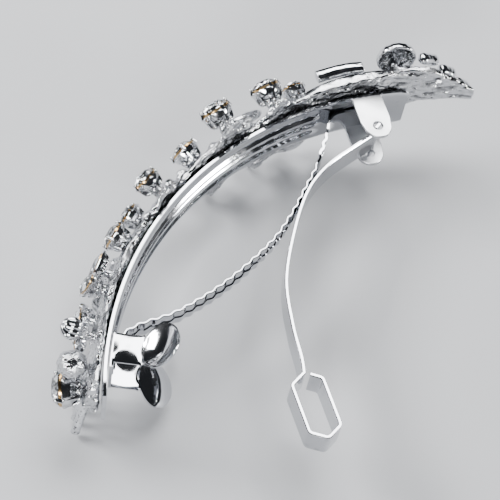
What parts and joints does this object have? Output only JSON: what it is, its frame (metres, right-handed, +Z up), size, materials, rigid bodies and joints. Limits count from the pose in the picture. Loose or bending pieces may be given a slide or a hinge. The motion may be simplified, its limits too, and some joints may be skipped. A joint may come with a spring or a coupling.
{
  "type": "hair clip",
  "caption": "Arched hair barrette with a swinging lever, bowed tension bar, two-winged spring catch and a spray of clear stones in metal settings.",
  "frame": {"origin": "middle of the footprint, on the surface the clip lies on", "axes": "+X along the clip from its catch to its hinge, +Y out of the convex side that carries the stones, +Z up across the clip's width"},
  "size_m": [0.0959, 0.0522, 0.0245],
  "materials": {
    "plated_steel": "bright plated sheet steel",
    "polished_casting": "polished plated casting",
    "cast_setting": "plated casting with a rough back",
    "clear_crystal": "faceted clear glass with a foiled back"
  },
  "bodies": {
    "frame": {"base_plate": "plated_steel", "catch_web": "plated_steel", "cup_end": "cast_setting", "cup_low_1": "cast_setting", "cup_low_2": "cast_setting", "cup_low_3": "cast_setting", "cup_row_1": "cast_setting", "cup_row_2": "cast_setting", "cup_row_3": "cast_setting", "cup_row_4": "cast_setting", "cup_row_5": "cast_setting", "cup_row_6": "cast_setting", "cup_row_7": "cast_setting", "cupped_petal": "cast_setting", "end_cluster": "cast_setting", "finger_bar_1": "cast_setting", "finger_bar_2": "cast_setting", "finger_bar_3": "cast_setting", "fringe_rod_1": "cast_setting", "fringe_rod_2": "cast_setting", "fringe_rod_3": "cast_setting", "fringe_rod_4": "cast_setting", "grooved_ball": "cast_setting", "leaf": "polished_casting", "setting_petal_1": "cast_setting", "setting_petal_2": "cast_setting", "setting_petal_3": "cast_setting", "setting_petal_4": "cast_setting", "setting_petal_5": "cast_setting", "setting_petal_6": "cast_setting", "spray_casting": "cast_setting", "stem_1": "polished_casting", "stem_2": "polished_casting", "stem_3": "polished_casting", "stone_end": "clear_crystal", "stone_low_1": "clear_crystal", "stone_low_2": "clear_crystal", "stone_low_3": "clear_crystal", "stone_petal_1": "clear_crystal", "stone_petal_2": "clear_crystal", "stone_petal_3": "clear_crystal", "stone_petal_4": "clear_crystal", "stone_petal_5": "clear_crystal", "stone_petal_6": "clear_crystal", "stone_row_1": "clear_crystal", "stone_row_2": "clear_crystal", "stone_row_3": "clear_crystal", "stone_row_4": "clear_crystal", "stone_row_5": "clear_crystal", "stone_row_6": "clear_crystal", "stone_row_7": "clear_crystal", "tension_bar": "plated_steel"},
    "lever": {"lever": "plated_steel"},
    "upper_wing": {"catch_wing_upper": "plated_steel"},
    "lower_wing": {"catch_wing_lower": "plated_steel"}
  },
  "joints": [
    {"name": "lever_hinge", "type": "hinge", "parent": "frame", "child": "lever", "pos_m": [0.02737, 0.00195, 0.01127], "axis": [0, 0, 1], "range_deg": [-28.5, 0], "deforming": ["tension_bar"]},
    {"name": "upper_wing_bend", "type": "hinge", "parent": "frame", "child": "upper_wing", "pos_m": [-0.03643, 0.00945, 0.01537], "axis": [-0.846, -0.5331, 0], "range_deg": [-3, 8], "stiffness_Nm_per_rad": 0.1},
    {"name": "lower_wing_bend", "type": "hinge", "parent": "frame", "child": "lower_wing", "pos_m": [-0.03643, 0.00945, 0.00717], "axis": [0.846, 0.5331, 0], "range_deg": [-3, 8], "stiffness_Nm_per_rad": 0.1}
  ]
}
